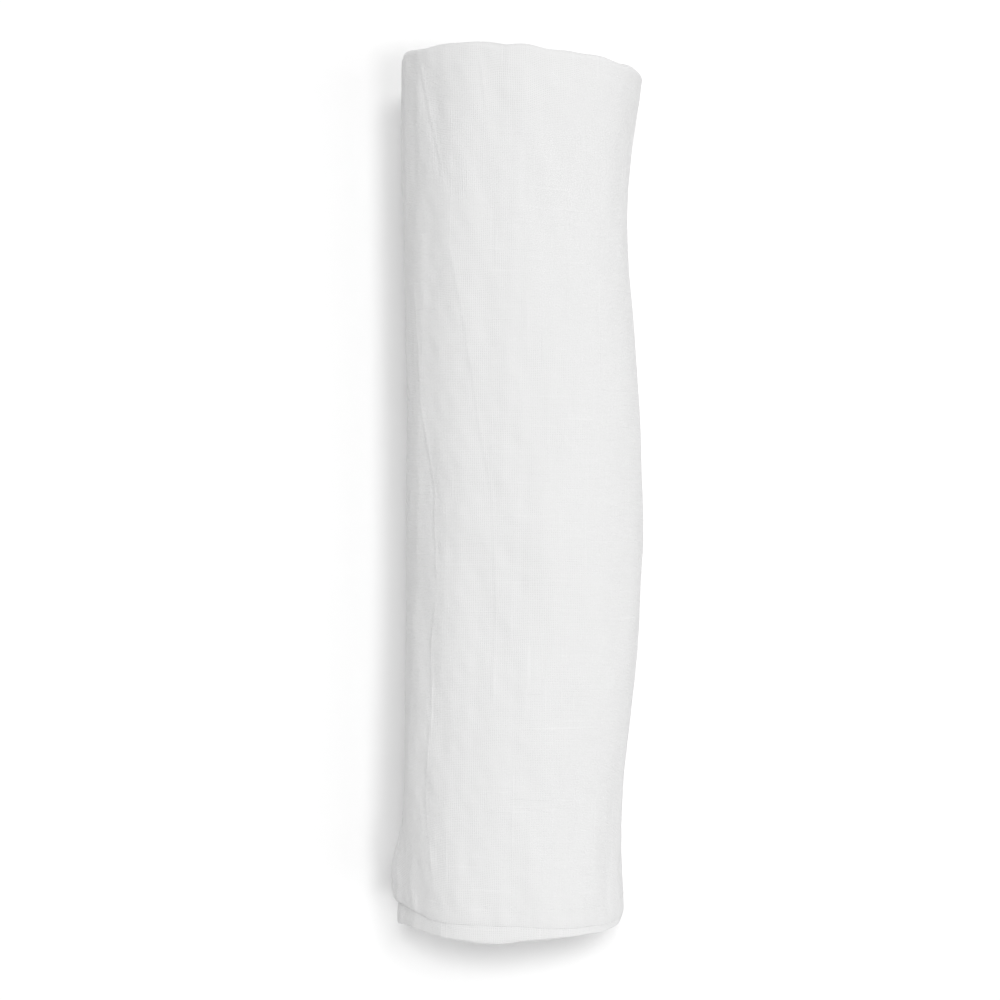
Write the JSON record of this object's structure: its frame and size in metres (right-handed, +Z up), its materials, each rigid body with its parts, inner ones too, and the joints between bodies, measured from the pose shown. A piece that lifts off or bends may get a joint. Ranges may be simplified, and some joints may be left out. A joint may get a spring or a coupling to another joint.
{
  "type": "rolled muslin baby wrap",
  "caption": "White muslin baby wrap, folded in quarters and rolled into a soft cylinder whose free end lifts open along a chain of hinged strips.",
  "frame": {"origin": "on the surface the roll lies on, under the middle of its box", "axes": "+Y along the roll to its folded end, +X to the side away from the free edge, +Z up"},
  "size_m": [0.083, 0.3, 0.0707],
  "materials": {
    "muslin": "matt white plain-weave cotton muslin with slubs",
    "thread": "white polyester sewing thread",
    "satin": "blank white satin label tape"
  },
  "bodies": {
    "roll": {"wound_cloth": "muslin", "start_edge_hem": "muslin", "start_edge_stitching": "thread", "side_hem_stitching": "thread", "care_label": "satin"},
    "flap_1": {"flap_strip_1": "muslin", "flap_side_stitching_1": "thread"},
    "flap_2": {"flap_strip_2": "muslin", "flap_side_stitching_2": "thread"},
    "flap_3": {"flap_strip_3": "muslin", "flap_side_stitching_3": "thread"},
    "flap_4": {"flap_strip_4": "muslin", "flap_side_stitching_4": "thread", "free_edge_hem": "muslin", "free_edge_stitching": "thread"}
  },
  "joints": [
    {"name": "flap_lift", "type": "hinge", "parent": "roll", "child": "flap_1", "pos_m": [0.01936, 0, 0.06588], "axis": [0, 1, 0], "range_deg": [0, 30]},
    {"name": "flap_bend_2", "type": "hinge", "parent": "flap_1", "child": "flap_2", "pos_m": [0.00081, 0, 0.07016], "axis": [0, 1, 0], "range_deg": [0, 30]},
    {"name": "flap_bend_3", "type": "hinge", "parent": "flap_2", "child": "flap_3", "pos_m": [-0.01806, 0, 0.06644], "axis": [0, 1, 0], "range_deg": [0, 30]},
    {"name": "flap_bend_4", "type": "hinge", "parent": "flap_3", "child": "flap_4", "pos_m": [-0.03418, 0, 0.05396], "axis": [0, 1, 0], "range_deg": [0, 30]}
  ],
  "couplings": [
    {"joint": "flap_bend_2", "follows": "flap_lift", "ratio": 1},
    {"joint": "flap_bend_3", "follows": "flap_lift", "ratio": 1},
    {"joint": "flap_bend_4", "follows": "flap_lift", "ratio": 1}
  ]
}
